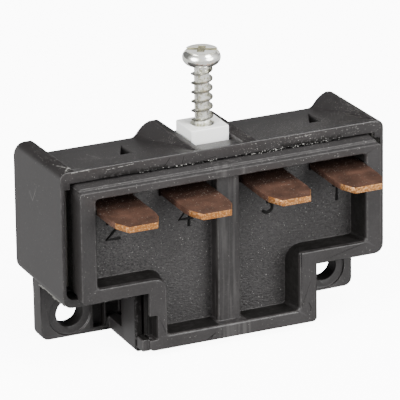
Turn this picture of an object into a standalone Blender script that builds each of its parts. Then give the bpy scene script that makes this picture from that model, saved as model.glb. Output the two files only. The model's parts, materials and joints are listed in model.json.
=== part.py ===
# Double-pole contact block: a T-shaped housing with two mounting ears, a terminal base set
# into its open front, four flat tabs, and a spring-loaded plunger that carries two bridges.
#
# Lengths are in metres. Inside the body frame y = 0 is the front edge of the side walls, y
# grows towards the back, and z = 0 is the underside of the stem. The world origin is the middle
# of the whole block's footprint, at the underside of the stem.

import math

import bmesh
import bpy
from mathutils import Vector

MM = 0.001

# Gaps between pieces
SEAT_GAP = 0.3 * MM            # between a piece and the seat that carries it
RIVET_GAP = 0.1 * MM           # around a contact rivet
RUNNING_GAP = 0.25 * MM        # each side of the plunger in its slot

# Housing, outside
BODY_WIDTH = 46.0 * MM
WING_DEPTH = 16.3 * MM
WING_BOTTOM = 7.7 * MM         # height of the wings' underside
TOP_EDGE = 26.4 * MM           # height of the front top edge
CREST_FALL = 0.5 * MM          # how much lower the crests are at the back
TROUGH_FALL = 3.15 * MM        # how much lower the troughs are at the back
STEM_WIDTH = 25.8 * MM
STEM_DEPTH = 11.3 * MM         # depth of stem and ears: the mounting plane
TOP_SIDE_RADIUS = 1.0 * MM
BOTTOM_SIDE_RADIUS = 1.3 * MM
STEM_RADIUS = 0.35 * MM
BACK_SIDE_RADIUS = 0.35 * MM
BACK_TOP_RADIUS = 2.3 * MM
SIDE_DRAFT = 0.1 * MM          # how much each side leans in towards the back

# Crests and troughs of the top
LEFT_OUTER_CREST = 2.05 * MM
LEFT_GUIDE_CREST = 0.85 * MM
RIGHT_GUIDE_CREST = 1.85 * MM
RIGHT_OUTER_CREST = 0.95 * MM
FLANK_RUN = 2.0 * MM           # how far a flank spreads at the back
FLANK_FILLET = 1.0 * MM        # at the flank's foot, at the back

# Two small three-cornered hollows in the troughs, with one ramped side
SCOOP_WIDTH = 2.0 * MM
SCOOP_LENGTH = 6.4 * MM
SCOOP_LEAN = 2.9 * MM          # how far the back corner lies to the right
SCOOP_DEPTH = 1.0 * MM
SCOOP_FLOOR_SHARE = 0.62       # of the mouth's width and length, at the floor
SCOOP_FRONT = 6.0 * MM
LEFT_SCOOP_X = -12.1 * MM
RIGHT_SCOOP_X = 15.1 * MM

# Housing, walls
FRONT_RIM = 0.52 * MM          # thin front edge of the side walls
STEM_RIM = 0.9 * MM
BOTTOM_RIM = 0.8 * MM
WING_RIM = 1.1 * MM
TOP_WALL = 1.6 * MM
SIDE_WALL = 2.2 * MM
BACK_WALL = 1.5 * MM
FLOOR_WALL = 1.4 * MM
REBATE_RADIUS = 1.2 * MM
CORNER_FILL = 0.8 * MM         # closes the groove's top corners
FILL_RADIUS = 0.2 * MM
STEM_REBATE_RADIUS = 0.4 * MM

# Ears
EAR_THICKNESS = 2.55 * MM
EAR_INSET = 0.4 * MM           # from the housing's side to the ear's edge
EAR_RADIUS = 1.1 * MM
EAR_HOLE_INSET = 4.55 * MM     # from the housing's side to the hole's axis
EAR_HOLE_HEIGHT = 3.2 * MM
EAR_HOLE_DIAMETER = 3.7 * MM
SPOTFACE_DIAMETER = 6.0 * MM
SPOTFACE_DEPTH = 0.3 * MM

# Side windows of the stem
WINDOW_FRONT = 4.7 * MM
WINDOW_SILL = 1.8 * MM

# Pocket in each ear, with a thin rib between it and the window
EAR_POCKET_WIDTH = 1.65 * MM
EAR_POCKET_DEPTH = 1.3 * MM
EAR_POCKET_LOW = 0.65 * MM
EAR_RIB_WIDTH = 0.25 * MM
EAR_RIB_STANDS = 0.4 * MM       # from the stem's side

# Terminal base
LIP_REACH = 2.6 * MM           # how far the lip stands in front of the side walls
BASE_THICKNESS = 2.8 * MM      # how far the base reaches in behind them
BASE_GROOVE = 1.12 * MM        # open groove between the base and the housing's front rim
LIP_DROP = 0.65 * MM           # from the underside of the top wall to the lip
LIP_STEP = 0.35 * MM           # step on top, behind the lip
RIM_TOP = 1.1 * MM
RIM_SIDE = 2.16 * MM
RIM_WING = 1.9 * MM
RIM_STEM = 2.5 * MM
RIM_BOTTOM = 1.9 * MM
RECESS_DEPTH = 3.42 * MM
RECESS_DRAFT = 0.6 * MM
LIP_PLATE = 0.6 * MM           # thickness of the lip beside the stem
LIP_EDGE = 1.8 * MM            # thickness of the lip beside the wings
LIP_UNDERCUT = 0.6 * MM        # how far the base steps in behind the lip, beside the stem
SHADOW_STEP = 0.25 * MM        # the same, beside the wings
LIP_TOP_RADIUS = 0.35 * MM
LIP_LOW_RADIUS = 0.6 * MM
MOUTH_CHAMFER = 0.15 * MM
RECESS_RADIUS = 0.5 * MM
LEFT_BEND_RADIUS = 1.8 * MM    # of the rim, where stem and wing meet
RIGHT_BEND_RADIUS = 0.2 * MM   # at the mouth
RIGHT_BEND_LOW_RADIUS = 2.2 * MM    # on the floor
RIB_WIDTH = 3.2 * MM
RIB_HEIGHT = 2.06 * MM
FOOT_WIDTH = 0.55 * MM         # small foot at the base's lower left corner
FOOT_HEIGHT = 1.5 * MM
FOOT_SET_BACK = 1.2 * MM
LATCH_NOTCH = (1.15 * MM, 3.4 * MM, 2.0 * MM)

# Terminals: flat tabs of 6.35 x 0.8 mm
TAB_WIDTH = 6.35 * MM
TAB_THICKNESS = 0.8 * MM
TAB_REACH = 10.1 * MM          # from the side walls' front edge to the tip
TAB_TIP_WIDTH = 4.0 * MM
TAB_TAPER = 2.1 * MM
TAB_SHOULDER = 1.4 * MM        # slight second taper behind the first
TAB_SHOULDER_INSET = 0.2 * MM
TAB_DROP = 1.32 * MM           # from the recess's upper wall to the tabs' upper faces
TAB_TO_RIB = 0.81 * MM
TAB_TO_RIM = 0.15 * MM
LEG_WIDTH = 4.6 * MM
FOOT_REACH = 8.9 * MM          # how far back the contact feet reach
FOOT_TOP = 10.2 * MM
BEND_RADIUS = 0.4 * MM

# Contacts
FIXED_CONTACT_DIAMETER = 3.0 * MM
MOVING_CONTACT_DIAMETER = 2.8 * MM
CONTACT_THICKNESS = 0.55 * MM
RIVET_DIAMETER = 1.3 * MM
CONTACT_OPENING = 2.1 * MM     # open gap between fixed and moving contacts

# Bridges
BRIDGE_THICKNESS = 0.6 * MM
BRIDGE_END = 1.9 * MM          # beyond the contacts' centres
BRIDGE_WIDTH = 3.4 * MM
BRIDGE_WAIST = 2.2 * MM

# Plunger
PLUNGER_Y = 6.74 * MM
PLUNGER_WIDTH = 5.46 * MM
PLUNGER_DEPTH = 5.12 * MM
PLUNGER_TOP = 27.5 * MM
SHOULDER_WIDTH = 9.2 * MM
SHOULDER_DEPTH = 4.7 * MM
BAR_HEIGHT = 1.8 * MM
CARRIER_WIDTH = 3.4 * MM
CARRIER_WALL = 0.9 * MM
CARRIER_DEPTH = 4.6 * MM
SILL_HEIGHT = 1.0 * MM
SPRING_ROOM = 4.7 * MM         # between a bridge and the bar above it
COLUMN_BOTTOM = 8.6 * MM
PEG_DIAMETER = 3.0 * MM
PEG_LENGTH = 3.7 * MM

# Springs
RETURN_COIL_DIAMETER = 4.6 * MM
RETURN_WIRE = 0.5 * MM
RETURN_TURNS = 6
SPRING_CUP_WALL = 0.9 * MM
SPRING_CUP_HEIGHT = 1.5 * MM
CONTACT_COIL_DIAMETER = 2.1 * MM
CONTACT_WIRE = 0.3 * MM
CONTACT_TURNS = 5

# Adjusting screw
SCREW_MAJOR = 2.88 * MM
SCREW_ROOT = 2.03 * MM
SCREW_PITCH = 1.27 * MM
SCREW_LENGTH = 15.9 * MM
SCREW_STANDS = 8.6 * MM        # head's underside above the plunger
HEAD_DIAMETER = 5.06 * MM
HEAD_HEIGHT = 1.55 * MM
SLOT_WIDTH = 0.8 * MM
SLOT_DEPTH = 0.75 * MM

# Derived places
HALF = BODY_WIDTH / 2
STEM_HALF = STEM_WIDTH / 2
EAR_HOLE_X = HALF - EAR_HOLE_INSET
BASE_HALF = HALF - FRONT_RIM - BASE_GROOVE
BASE_STEM_HALF = STEM_HALF - STEM_RIM
LIP_TOP = TOP_EDGE - TOP_WALL - LIP_DROP
TAB_HEIGHT = LIP_TOP - RIM_TOP - TAB_DROP
INNER_TAB = RIB_WIDTH / 2 + TAB_TO_RIB + TAB_WIDTH / 2
OUTER_TAB = BASE_HALF - RIM_SIDE - TAB_TO_RIM - TAB_WIDTH / 2
SLOT_HALF = PLUNGER_WIDTH / 2 + RUNNING_GAP
SHOULDER_Y = BASE_THICKNESS + SEAT_GAP      # where the base's seat begins, inside the housing
LEG_FRONT = BASE_THICKNESS + SEAT_GAP
POLE_X = (INNER_TAB + OUTER_TAB) / 2
CONTACT_REACH = (OUTER_TAB - INNER_TAB) / 2
DEEP_FLOOR = WING_BOTTOM + FLOOR_WALL
FIXED_TOP = FOOT_TOP + RIVET_GAP + CONTACT_THICKNESS
MOVING_BOTTOM = FIXED_TOP + CONTACT_OPENING
BRIDGE_BOTTOM = MOVING_BOTTOM + CONTACT_THICKNESS + RIVET_GAP
BRIDGE_TOP = BRIDGE_BOTTOM + BRIDGE_THICKNESS
SILL_TOP = BRIDGE_BOTTOM - SEAT_GAP
BAR_BOTTOM = BRIDGE_TOP + SPRING_ROOM
BAR_TOP = BAR_BOTTOM + BAR_HEIGHT
LIP_BOTTOM = BOTTOM_RIM
LIP_WING_BOTTOM = WING_BOTTOM + WING_RIM + 0.14 * MM

AXIS_ORDER = {
    "X": lambda u, v, w: (w, u, v),
    "Y": lambda u, v, w: (u, w, v),
    "Z": lambda u, v, w: (u, v, w),
}


def clear_scene():
    for item in list(bpy.data.objects):
        bpy.data.objects.remove(item, do_unlink=True)


def principled(name, colour, roughness, metallic=0.0):
    material = bpy.data.materials.new(name)
    material.use_nodes = True
    shader = material.node_tree.nodes["Principled BSDF"]
    shader.inputs["Base Color"].default_value = (*colour, 1.0)
    shader.inputs["Roughness"].default_value = roughness
    shader.inputs["Metallic"].default_value = metallic
    material.diffuse_color = (*colour, 1.0)
    return material


def black_plastic(name):
    return principled(name, (0.035, 0.033, 0.032), 0.45)


def white_nylon(name):
    return principled(name, (0.80, 0.81, 0.79), 0.35)


def copper(name):
    return principled(name, (0.55, 0.27, 0.17), 0.40, 1.0)


def silver(name):
    return principled(name, (0.80, 0.79, 0.76), 0.30, 1.0)


def spring_steel(name):
    return principled(name, (0.45, 0.45, 0.46), 0.30, 1.0)


def zinc_plate(name):
    return principled(name, (0.78, 0.77, 0.70), 0.28, 1.0)


# Shapes

def rounded(corners, steps=4):
    # Closed outline through corners given as (u, v, radius), each rounded by an arc.
    outline = []
    for index, (u, v, radius) in enumerate(corners):
        corner = Vector((u, v))
        if radius <= 0:
            outline.append(corner)
            continue
        before = (Vector(corners[index - 1][:2]) - corner).normalized()
        after = (Vector(corners[(index + 1) % len(corners)][:2]) - corner).normalized()
        half_angle = before.angle(after) / 2
        centre = corner + (before + after).normalized() * (radius / math.sin(half_angle))
        start = corner + before * (radius / math.tan(half_angle)) - centre
        end = corner + after * (radius / math.tan(half_angle)) - centre
        first = math.atan2(start.y, start.x)
        sweep = (math.atan2(end.y, end.x) - first + math.pi) % (2 * math.pi) - math.pi
        for step in range(steps + 1):
            angle = first + sweep * step / steps
            point = centre + radius * Vector((math.cos(angle), math.sin(angle)))
            outline.append(Vector((round(point.x, 8), round(point.y, 8))))
    return outline


def rectangle(left, right, low, high, radius=0.0, steps=4):
    return rounded([(left, low, radius), (right, low, radius),
                    (right, high, radius), (left, high, radius)], steps)


def circle(u, v, diameter, segments=24):
    turn = 2 * math.pi / segments
    return [Vector((u + diameter / 2 * math.cos(turn * step), v + diameter / 2 * math.sin(turn * step)))
            for step in range(segments)]


def new_object(name, mesh, parent=None):
    bmesh.ops.recalc_face_normals(mesh, faces=mesh.faces)
    data = bpy.data.meshes.new(name)
    mesh.to_mesh(data)
    mesh.free()
    item = bpy.data.objects.new(name, data)
    bpy.context.scene.collection.objects.link(item)
    item.parent = parent
    return item


def loft(name, sections, axis, parent=None):
    # Solid through outlines of equal length; each section is (outline, distance along axis).
    mesh = bmesh.new()
    place = AXIS_ORDER[axis]
    rings = [[mesh.verts.new(place(point[0], point[1], distance)) for point in outline]
             for outline, distance in sections]
    for ring, following in zip(rings, rings[1:]):
        for index in range(len(ring)):
            mesh.faces.new((ring[index - 1], ring[index], following[index], following[index - 1]))
    mesh.faces.new(rings[0])
    mesh.faces.new(rings[-1])
    return new_object(name, mesh, parent)


def prism(name, outline, axis, start, end, parent=None):
    return loft(name, [(outline, start), (outline, end)], axis, parent)


def turned(name, profile, parent=None, segments=24):
    # Solid of revolution about z; the profile runs from the axis, out and back to the axis.
    mesh = bmesh.new()
    points = [mesh.verts.new((radius, 0, height)) for radius, height in profile]
    edges = [mesh.edges.new(pair) for pair in zip(points, points[1:])]
    bmesh.ops.spin(mesh, geom=points + edges, cent=(0, 0, 0), axis=(0, 0, 1),
                   angle=2 * math.pi, steps=segments, use_merge=True)
    bmesh.ops.remove_doubles(mesh, verts=mesh.verts, dist=1e-6)
    return new_object(name, mesh, parent)


def sweep(name, stations, parent=None):
    # Solid through rings of points, closed with a flat face at both ends.
    mesh = bmesh.new()
    rings = [[mesh.verts.new(point) for point in ring] for ring in stations]
    for ring, following in zip(rings, rings[1:]):
        for index in range(len(ring)):
            mesh.faces.new((ring[index - 1], ring[index], following[index], following[index - 1]))
    mesh.faces.new(rings[0])
    mesh.faces.new(rings[-1])
    return new_object(name, mesh, parent)


def as_guide(item):
    item.hide_render = True
    item.display_type = "WIRE"
    return item


def join_shape(target, addition):
    merge = target.modifiers.new(addition.name, "BOOLEAN")
    merge.operation = "UNION"
    merge.solver = "EXACT"
    merge.object = as_guide(addition)


def cut(target, cutter):
    difference = target.modifiers.new(cutter.name, "BOOLEAN")
    difference.operation = "DIFFERENCE"
    difference.solver = "EXACT"
    difference.object = as_guide(cutter)


def smooth_round(item, limit=35):
    item.data.shade_smooth()
    item.data.set_sharp_from_angle(angle=math.radians(limit))


def paint(item, material):
    item.data.materials.append(material)


def empty(name, location, parent=None):
    item = bpy.data.objects.new(name, None)
    item.empty_display_size = 0.005
    item.location = location
    item.parent = parent
    bpy.context.scene.collection.objects.link(item)
    return item


def trough_height(y):
    return TOP_EDGE - TROUGH_FALL * y / WING_DEPTH


def crest_height(y):
    return TOP_EDGE - CREST_FALL * y / WING_DEPTH


def ceiling_height(y):
    return trough_height(y) - TOP_WALL


# Housing

def wing_outline(half_width, top):
    return rounded([
        (-half_width, WING_BOTTOM, BOTTOM_SIDE_RADIUS),
        (half_width, WING_BOTTOM, BOTTOM_SIDE_RADIUS),
        (half_width, top, TOP_SIDE_RADIUS),
        (-half_width, top, TOP_SIDE_RADIUS),
    ])


def back_inset(y, radius):
    # How far a back edge of this radius has stepped inwards at y.
    into = max(0.0, y - (WING_DEPTH - radius))
    return radius - math.sqrt(max(0.0, radius ** 2 - into ** 2))


def wing_block(parent):
    # The back edges are rounded: widely on top, and a little at the sides.
    steps = [math.sin(math.pi / 2 * step / 6) for step in range(7)]
    stations = [WING_DEPTH - BACK_TOP_RADIUS * (1 - step) for step in steps]
    stations += [WING_DEPTH - BACK_SIDE_RADIUS * (1 - step) for step in steps[:6:2]]
    sections = [(wing_outline(HALF, TOP_EDGE), 0.0)]
    for y in sorted(stations):
        half_width = HALF - SIDE_DRAFT * y / WING_DEPTH - back_inset(y, BACK_SIDE_RADIUS)
        sections.append((wing_outline(half_width, crest_height(y) - back_inset(y, BACK_TOP_RADIUS)), y))
    return loft("housing", sections, "Y", parent)


def stem_outline():
    return rounded([
        (-STEM_HALF, 0.0, STEM_RADIUS),
        (STEM_HALF, 0.0, STEM_RADIUS),
        (STEM_HALF, WING_BOTTOM + WING_RIM / 2, 0.0),
        (-STEM_HALF, WING_BOTTOM + WING_RIM / 2, 0.0),
    ])


def ear_outline():
    width = HALF - EAR_INSET
    top = WING_BOTTOM + BOTTOM_SIDE_RADIUS
    return rounded([(-width, 0.0, EAR_RADIUS), (width, 0.0, EAR_RADIUS), (width, top, 0.0),
                    (-width, top, 0.0)])


def trough_cutter(name, side, guide_crest, outer_crest, parent):
    # Wedge that is flush with the front top edge and deepest at the back, where a fillet
    # runs along the foot of each flank.
    past = WING_DEPTH + 1 * MM
    inner = SLOT_HALF + guide_crest
    outer = HALF - outer_crest
    rise = crest_height(past) - trough_height(past)
    over = 3 * MM
    slope = FLANK_RUN / rise

    def outline(y, run, fillet):
        low = trough_height(y)
        high = low + run / slope + over
        spread = run + over * slope
        corners = [(inner + run, low, fillet), (outer - run, low, fillet),
                   (outer - run + spread, high, 0.0), (inner + run - spread, high, 0.0)]
        return [(side * point[0], point[1]) for point in rounded(corners, 3)]

    slight = FLANK_FILLET / 20
    sections = [(outline(-1 * MM, 0.0, slight), -1 * MM), (outline(0.0, 0.0, slight), 0.0),
                (outline(past, FLANK_RUN, FLANK_FILLET), past)]
    return loft(name, sections, "Y", parent)


def channel_cutter(parent):
    # The strip between the two guide crests lies in the same slope as the troughs.
    past = WING_DEPTH + 1 * MM
    profile = [(-1 * MM, trough_height(-1 * MM)), (past, trough_height(past)),
               (past, TOP_EDGE + 2 * MM), (-1 * MM, TOP_EDGE + 2 * MM)]
    return prism("channel", profile, "X", -SLOT_HALF, SLOT_HALF, parent)


def scoop_cutter(name, left, parent):
    # Upright walls on the left and in front; the third side is a ramp.
    front = SCOOP_FRONT

    def triangle(share, lift):
        corners = [(left, front), (left + SCOOP_WIDTH * share, front),
                   (left + SCOOP_LEAN * share, front + SCOOP_LENGTH * share)]
        return [(x, y, trough_height(y) + lift) for x, y in corners]

    return sweep(name, [triangle(1.0, 1 * MM), triangle(1.0, 0.0),
                        triangle(SCOOP_FLOOR_SHARE, -SCOOP_DEPTH)], parent)


def front_rebate(parent):
    half = HALF - FRONT_RIM
    stem = STEM_HALF - STEM_RIM
    low = BOTTOM_RIM
    wing = WING_BOTTOM + WING_RIM
    top = TOP_EDGE - TOP_WALL
    seat = BASE_HALF + SEAT_GAP
    filled = top - CORNER_FILL
    outline = rounded([
        (-stem, low, STEM_REBATE_RADIUS), (stem, low, STEM_REBATE_RADIUS), (stem, wing, 0.0),
        (half, wing, REBATE_RADIUS), (half, filled, FILL_RADIUS), (seat, filled, 0.0),
        (seat, top, FILL_RADIUS), (-seat, top, FILL_RADIUS), (-seat, filled, 0.0),
        (-half, filled, FILL_RADIUS), (-half, wing, REBATE_RADIUS), (-stem, wing, 0.0),
    ])
    return prism("front_rebate", outline, "Y", -1 * MM, SHOULDER_Y, parent)


def wing_cavity(parent):
    front = SHOULDER_Y - 0.1 * MM
    back = WING_DEPTH - BACK_WALL
    profile = [(front, DEEP_FLOOR), (back, DEEP_FLOOR), (back, ceiling_height(back)),
               (front, ceiling_height(front))]
    half = HALF - SIDE_WALL
    return prism("wing_cavity", profile, "X", -half, half, parent)


def stem_cavity(parent):
    half = STEM_HALF - STEM_RIM - 0.6 * MM
    outline = rectangle(-half, half, BOTTOM_RIM + 0.5 * MM, DEEP_FLOOR + 0.5 * MM)
    return prism("stem_cavity", outline, "Y", SHOULDER_Y - 0.1 * MM, STEM_DEPTH - FLOOR_WALL, parent)


def plunger_slot(parent):
    half_depth = PLUNGER_DEPTH / 2 + RUNNING_GAP
    outline = rectangle(-SLOT_HALF, SLOT_HALF, PLUNGER_Y - half_depth, PLUNGER_Y + half_depth)
    return prism("plunger_slot", outline, "Z", BAR_TOP, TOP_EDGE + 2 * MM, parent)


def spring_cup(parent):
    inner = RETURN_COIL_DIAMETER / 2 + SEAT_GAP
    outer = inner + SPRING_CUP_WALL
    floor = BOTTOM_RIM + 0.5 * MM
    top = floor + SPRING_CUP_HEIGHT
    profile = [(inner, floor - 0.3 * MM), (outer, floor - 0.3 * MM), (outer, top), (inner, top),
               (inner, floor - 0.3 * MM)]
    cup = turned("spring_cup", profile, parent)
    cup.location = (0, PLUNGER_Y, 0)
    return cup


def window_cutter(name, side, parent):
    # Runs a little way into the ear, as deep as the pocket beside it.
    back = STEM_DEPTH - EAR_THICKNESS + EAR_POCKET_DEPTH
    outline = rectangle(WINDOW_FRONT, back, WINDOW_SILL, WING_BOTTOM - 0.2 * MM)
    inner = STEM_HALF - STEM_RIM - 1 * MM
    outer = STEM_HALF + EAR_RIB_STANDS
    return prism(name, outline, "X", *sorted((side * inner, side * outer)), parent)


def ear_pocket_cutter(name, side, parent):
    ear_front = STEM_DEPTH - EAR_THICKNESS
    near = STEM_HALF + EAR_RIB_STANDS + EAR_RIB_WIDTH
    outline = rectangle(*sorted((side * near, side * (near + EAR_POCKET_WIDTH))),
                        EAR_POCKET_LOW, WING_BOTTOM - 0.2 * MM)
    return prism(name, outline, "Y", ear_front - 1 * MM, ear_front + EAR_POCKET_DEPTH, parent)


def build_housing(parent):
    housing = wing_block(parent)
    join_shape(housing, prism("stem_block", stem_outline(), "Y", 0.0, STEM_DEPTH, parent))
    ear_front = STEM_DEPTH - EAR_THICKNESS
    join_shape(housing, prism("ear_plate", ear_outline(), "Y", ear_front, STEM_DEPTH, parent))
    cut(housing, trough_cutter("right_trough", 1, RIGHT_GUIDE_CREST, RIGHT_OUTER_CREST, parent))
    cut(housing, trough_cutter("left_trough", -1, LEFT_GUIDE_CREST, LEFT_OUTER_CREST, parent))
    cut(housing, channel_cutter(parent))
    cut(housing, scoop_cutter("left_scoop", LEFT_SCOOP_X, parent))
    cut(housing, scoop_cutter("right_scoop", RIGHT_SCOOP_X, parent))
    cut(housing, front_rebate(parent))
    cut(housing, wing_cavity(parent))
    cut(housing, stem_cavity(parent))
    cut(housing, plunger_slot(parent))
    for side, name in ((-1, "left"), (1, "right")):
        hole_x = side * EAR_HOLE_X
        bore = circle(hole_x, EAR_HOLE_HEIGHT, EAR_HOLE_DIAMETER)
        face = circle(hole_x, EAR_HOLE_HEIGHT, SPOTFACE_DIAMETER, 32)
        cut(housing, prism(name + "_ear_bore", bore, "Y", ear_front - 1 * MM, STEM_DEPTH + 1 * MM, parent))
        cut(housing, prism(name + "_spotface", face, "Y", ear_front - 0.05 * MM,
                           ear_front + SPOTFACE_DEPTH, parent))
        cut(housing, window_cutter(name + "_window", side, parent))
        cut(housing, ear_pocket_cutter(name + "_ear_pocket", side, parent))
    join_shape(housing, spring_cup(parent))
    paint(housing, black_plastic("housing_plastic"))
    return housing


# Terminal base

def base_outline(half, stem, top, wing, low):
    high_radius = LIP_TOP_RADIUS
    low_radius = LIP_LOW_RADIUS
    return rounded([
        (-stem, low, low_radius), (stem, low, low_radius), (stem, wing, 0.0),
        (half, wing, low_radius), (half, top, high_radius),
        (-half, top, high_radius), (-half, wing, low_radius), (-stem, wing, 0.0),
    ])


def recess_outline(grown, right_bend):
    # Grown is how far the outline lies outside the mouth's straight walls.
    half = BASE_HALF - RIM_SIDE + grown
    stem = BASE_STEM_HALF - RIM_STEM + grown
    edge = max(grown, 0.0)
    top = LIP_TOP - RIM_TOP + edge
    wing = LIP_WING_BOTTOM + RIM_WING - edge
    low = LIP_BOTTOM + RIM_BOTTOM - edge
    corner = RECESS_RADIUS
    return rounded([
        (-stem, low, corner), (stem, low, corner), (stem, wing, right_bend),
        (half, wing, corner), (half, top, corner),
        (-half, top, corner), (-half, wing, corner), (-stem, wing, LEFT_BEND_RADIUS),
    ])


def recess_cutter(parent):
    # A small chamfer at the mouth; the side walls lean in towards the floor.
    edge = recess_outline(MOUTH_CHAMFER, RIGHT_BEND_RADIUS)
    mouth = recess_outline(0.0, RIGHT_BEND_RADIUS)
    floor = recess_outline(-RECESS_DRAFT, RIGHT_BEND_LOW_RADIUS)
    floor_y = RECESS_DEPTH - LIP_REACH
    sections = [(edge, -LIP_REACH - 1 * MM), (edge, -LIP_REACH), (mouth, -LIP_REACH + MOUTH_CHAMFER),
                (floor, floor_y)]
    return loft("recess", sections, "Y", parent)


def undercut_cutter(name, side, parent):
    # Leaves only a thin plate of the lip beside the stem.
    inner = BASE_STEM_HALF - LIP_UNDERCUT
    outline = rectangle(*sorted((side * inner, side * (inner + 2 * LIP_UNDERCUT))),
                        LIP_BOTTOM - 1 * MM, LIP_WING_BOTTOM - SEAT_GAP)
    return prism(name, outline, "Y", LIP_PLATE - LIP_REACH, -SEAT_GAP / 2, parent)


def build_terminal_base(parent):
    body_low = BOTTOM_RIM + SEAT_GAP
    body_wing = WING_BOTTOM + WING_RIM + SEAT_GAP
    body_stem = STEM_HALF - STEM_RIM - SEAT_GAP
    lip = base_outline(BASE_HALF, BASE_STEM_HALF, LIP_TOP, LIP_WING_BOTTOM, LIP_BOTTOM)
    body = base_outline(BASE_HALF - SHADOW_STEP, body_stem, LIP_TOP + LIP_STEP, body_wing, body_low)
    lip_back = LIP_EDGE - LIP_REACH
    base = prism("terminal_base", body, "Y", lip_back - LIP_EDGE / 2, BASE_THICKNESS, parent)
    join_shape(base, prism("lip", lip, "Y", -LIP_REACH, lip_back, parent))
    for side, name in ((-1, "left"), (1, "right")):
        cut(base, undercut_cutter(name + "_undercut", side, parent))
    foot_left = -BASE_STEM_HALF - FOOT_WIDTH
    foot = rectangle(foot_left, foot_left + 3 * FOOT_WIDTH, LIP_BOTTOM + 0.05 * MM,
                     LIP_BOTTOM + FOOT_HEIGHT)
    join_shape(base, prism("corner_foot", foot, "Y", FOOT_SET_BACK - LIP_REACH, -SEAT_GAP, parent))
    cut(base, recess_cutter(parent))
    rib_low = LIP_BOTTOM + RIM_BOTTOM / 2
    rib_high = LIP_TOP - RIM_TOP / 2
    floor_y = RECESS_DEPTH - LIP_REACH
    rib = rectangle(-RIB_WIDTH / 2, RIB_WIDTH / 2, floor_y - RIB_HEIGHT, BASE_THICKNESS - 0.5 * MM,
                    0.25 * MM, 2)
    join_shape(base, prism("centre_rib", rib, "Z", rib_low, rib_high, parent))
    for side in (-1, 1):
        shelf = rectangle(SLOT_HALF, SLOT_HALF + LEG_WIDTH + 0.6 * MM, DEEP_FLOOR - 1.6 * MM, DEEP_FLOOR)
        outline = [(side * point[0], point[1]) for point in shelf]
        name = "left_shelf" if side < 0 else "right_shelf"
        join_shape(base, prism(name, outline, "Y", BASE_THICKNESS - 0.5 * MM, FOOT_REACH, parent))
    for number, centre in tab_centres():
        half = TAB_WIDTH / 2 + SEAT_GAP / 2
        opening = rectangle(centre - half, centre + half, TAB_HEIGHT - TAB_THICKNESS - SEAT_GAP / 2,
                            TAB_HEIGHT + SEAT_GAP / 2)
        cut(base, prism("tab_slot_" + number, opening, "Y", 0.2 * MM - LIP_REACH,
                        BASE_THICKNESS + 1 * MM, parent))
    width, height, depth = LATCH_NOTCH
    notch_left = -BASE_STEM_HALF - 0.5 * MM
    notch_low = LIP_BOTTOM + FOOT_HEIGHT
    notch = rectangle(notch_left, notch_left + 0.5 * MM + width, notch_low, notch_low + height)
    cut(base, prism("latch_notch", notch, "Y", -LIP_REACH - 1 * MM, -LIP_REACH + depth, parent))
    paint(base, black_plastic("base_plastic"))
    return base


# Terminals and contacts

def tab_centres():
    return (("2", -OUTER_TAB), ("4", -INNER_TAB), ("3", INNER_TAB), ("1", OUTER_TAB))


def strip_path():
    # Middle line of the strip in (y, z), with its half width: tab, bend, leg, bend, foot.
    middle = TAB_HEIGHT - TAB_THICKNESS / 2
    leg_y = LEG_FRONT + TAB_THICKNESS / 2
    foot_z = FOOT_TOP - TAB_THICKNESS / 2
    tip = -TAB_REACH
    neck = BASE_THICKNESS - 0.6 * MM
    bend = BEND_RADIUS + TAB_THICKNESS / 2
    full = TAB_WIDTH / 2
    narrow = LEG_WIDTH / 2
    path = [(tip, middle, TAB_TIP_WIDTH / 2), (tip + TAB_TAPER, middle, full - TAB_SHOULDER_INSET),
            (tip + TAB_TAPER + TAB_SHOULDER, middle, full),
            (neck, middle, full), (neck + 0.2 * MM, middle, narrow)]
    for step in range(5):
        angle = math.pi / 2 * step / 4
        path.append((leg_y - bend + bend * math.sin(angle), middle - bend + bend * math.cos(angle), narrow))
    for step in range(5):
        angle = math.pi / 2 * step / 4
        path.append((leg_y + bend - bend * math.cos(angle), foot_z + bend - bend * math.sin(angle), narrow))
    path.append((FOOT_REACH, foot_z, narrow))
    return path


def build_terminal(number, centre, parent):
    path = strip_path()
    stations = []
    for index, (y, z, half) in enumerate(path):
        before = Vector(path[max(index - 1, 0)][:2])
        after = Vector(path[min(index + 1, len(path) - 1)][:2])
        direction = (after - before).normalized()
        offset = Vector((-direction.y, direction.x)) * TAB_THICKNESS / 2
        stations.append([
            (centre - half, y + offset.x, z + offset.y), (centre + half, y + offset.x, z + offset.y),
            (centre + half, y - offset.x, z - offset.y), (centre - half, y - offset.x, z - offset.y)])
    terminal = sweep("terminal_" + number, stations, parent)
    hole = circle(centre, PLUNGER_Y, RIVET_DIAMETER + 2 * RIVET_GAP, 16)
    cut(terminal, prism("rivet_hole_" + number, hole, "Z", FOOT_TOP - 3 * MM, FOOT_TOP + 1 * MM, parent))
    paint(terminal, copper("terminal_copper_" + number))
    return terminal


def build_fixed_contact(number, centre, parent):
    head = FIXED_CONTACT_DIAMETER / 2
    shank = RIVET_DIAMETER / 2
    under = FOOT_TOP + RIVET_GAP
    low = FOOT_TOP - TAB_THICKNESS + RIVET_GAP
    profile = [(0, low), (shank, low), (shank, under), (head, under), (head, FIXED_TOP - 0.15 * MM),
               (head - 0.15 * MM, FIXED_TOP), (0, FIXED_TOP)]
    contact = turned("fixed_contact_" + number, profile, parent)
    contact.location = (centre, PLUNGER_Y, 0)
    smooth_round(contact)
    paint(contact, silver("fixed_contact_silver_" + number))
    return contact


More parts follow.
